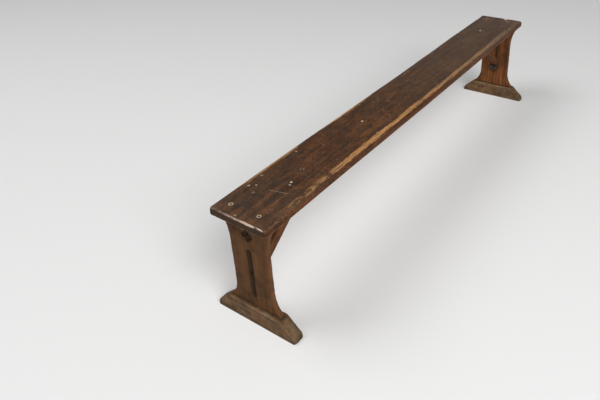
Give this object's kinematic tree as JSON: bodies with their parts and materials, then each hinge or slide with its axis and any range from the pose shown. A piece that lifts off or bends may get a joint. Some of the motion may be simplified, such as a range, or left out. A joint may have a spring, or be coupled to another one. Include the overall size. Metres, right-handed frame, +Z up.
{
  "type": "church bench",
  "caption": "Long backless church bench: plank seat on two waisted end panels with tapered feet and slanting braces.",
  "frame": {"origin": "on the floor, under the middle of the seat", "axes": "+X along the seat, +Y across the seat, +Z up"},
  "size_m": [2.182, 0.348, 0.457],
  "materials": {
    "seat_varnish": "old dark brown varnish, scratched, worn to bare wood along the edges",
    "panel_oak": "mid brown stained plank, satin, lighter on its worn edges",
    "foot_oak": "brown stained wood, scuffed and dusty, worn arrises",
    "brace_oak": "orange brown stained bar, satin",
    "stop_wood": "dark stained block, dull",
    "plug_wood": "end-grain plug, varnished",
    "wedge_wood": "bare hardwood, unfinished",
    "screw_steel": "dull old steel",
    "nail_iron": "dark iron, slightly polished heads"
  },
  "bodies": {
    "root": {"seat_board": "seat_varnish", "left_foot": "foot_oak", "left_end_panel": "panel_oak", "left_tenon_wedges": "wedge_wood", "left_brace": "brace_oak", "left_brace_stop": "stop_wood", "left_seat_screws": "screw_steel", "left_seat_plugs": "plug_wood", "left_brace_screw": "screw_steel", "left_brace_plug": "plug_wood", "left_brace_nails": "nail_iron", "left_stop_nails": "nail_iron", "right_foot": "foot_oak", "right_end_panel": "panel_oak", "right_tenon_wedges": "wedge_wood", "right_brace": "brace_oak", "right_brace_stop": "stop_wood", "right_seat_screws": "screw_steel", "right_seat_plugs": "plug_wood", "right_brace_screw": "screw_steel", "right_brace_plug": "plug_wood", "right_brace_nails": "nail_iron", "right_stop_nails": "nail_iron"}
  },
  "joints": []
}
